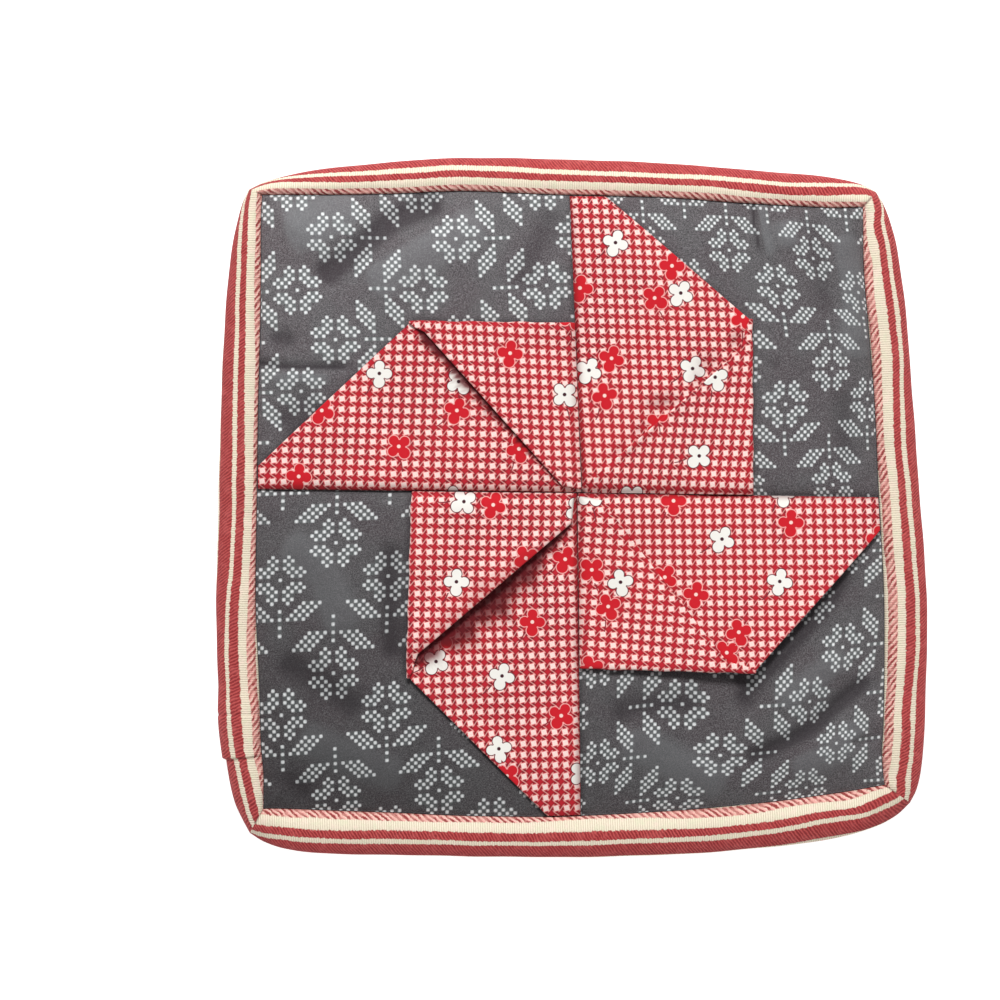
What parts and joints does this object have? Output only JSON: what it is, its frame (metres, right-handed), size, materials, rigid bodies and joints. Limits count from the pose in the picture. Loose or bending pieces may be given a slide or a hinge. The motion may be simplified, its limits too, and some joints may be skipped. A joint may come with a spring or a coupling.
{
  "type": "pot holder",
  "caption": "Square padded patchwork pot holder with a raised folded pinwheel on its front and a striped binding mitred at the corners.",
  "frame": {"origin": "on the surface the pot holder lies on, under the middle of its outline", "axes": "+X to the pot holder's right, +Y to its top, +Z out of its patchwork front"},
  "size_m": [0.2032, 0.1999, 0.0159],
  "materials": {
    "patchwork_cloth": "matt plain-woven printed cotton, dark grey with pale dotted sprigs",
    "binding_cloth": "twill ticking in red and cream stripes",
    "flap_cloth": "matt printed cotton, small red and white houndstooth with small flowers"
  },
  "bodies": {
    "root": {"pad": "patchwork_cloth", "binding": "binding_cloth", "flap_top_left": "flap_cloth", "flap_top_right": "flap_cloth", "flap_bottom_right": "flap_cloth", "flap_bottom_left": "flap_cloth"}
  },
  "joints": []
}
